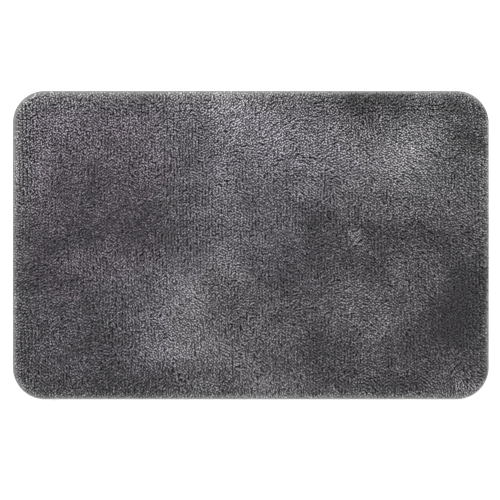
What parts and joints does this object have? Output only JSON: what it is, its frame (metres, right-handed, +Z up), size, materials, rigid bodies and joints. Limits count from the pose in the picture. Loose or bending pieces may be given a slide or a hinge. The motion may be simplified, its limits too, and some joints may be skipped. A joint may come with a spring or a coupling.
{
  "type": "bath mat",
  "caption": "Rectangular tufted microfibre bath mat with rounded corners, a deep cut pile, an overlocked edge and a rubber anti-slip underside.",
  "frame": {"origin": "middle of the mat's underside, on the floor", "axes": "+X along the mat's long side, +Y across it, +Z up out of the pile"},
  "size_m": [0.85, 0.55, 0.025],
  "materials": {
    "rubber_backing": "matt thermoplastic rubber with a fine moulded grip",
    "latex": "dull dried latex",
    "backing_cloth": "plain-woven polypropylene tape yarn",
    "pile": "soft cut pile of microfibre polyester, brushed in patches",
    "edging_yarn": "textured polyester yarn, wrapped close",
    "sewing_thread": "twisted polyester thread"
  },
  "bodies": {
    "root": {"anti_slip_backing": "rubber_backing", "latex_bonding_coat": "latex", "primary_backing_cloth": "backing_cloth", "tufted_pile": "pile", "overlock_edge_yarn": "edging_yarn", "overlock_needle_thread": "sewing_thread"}
  },
  "joints": []
}
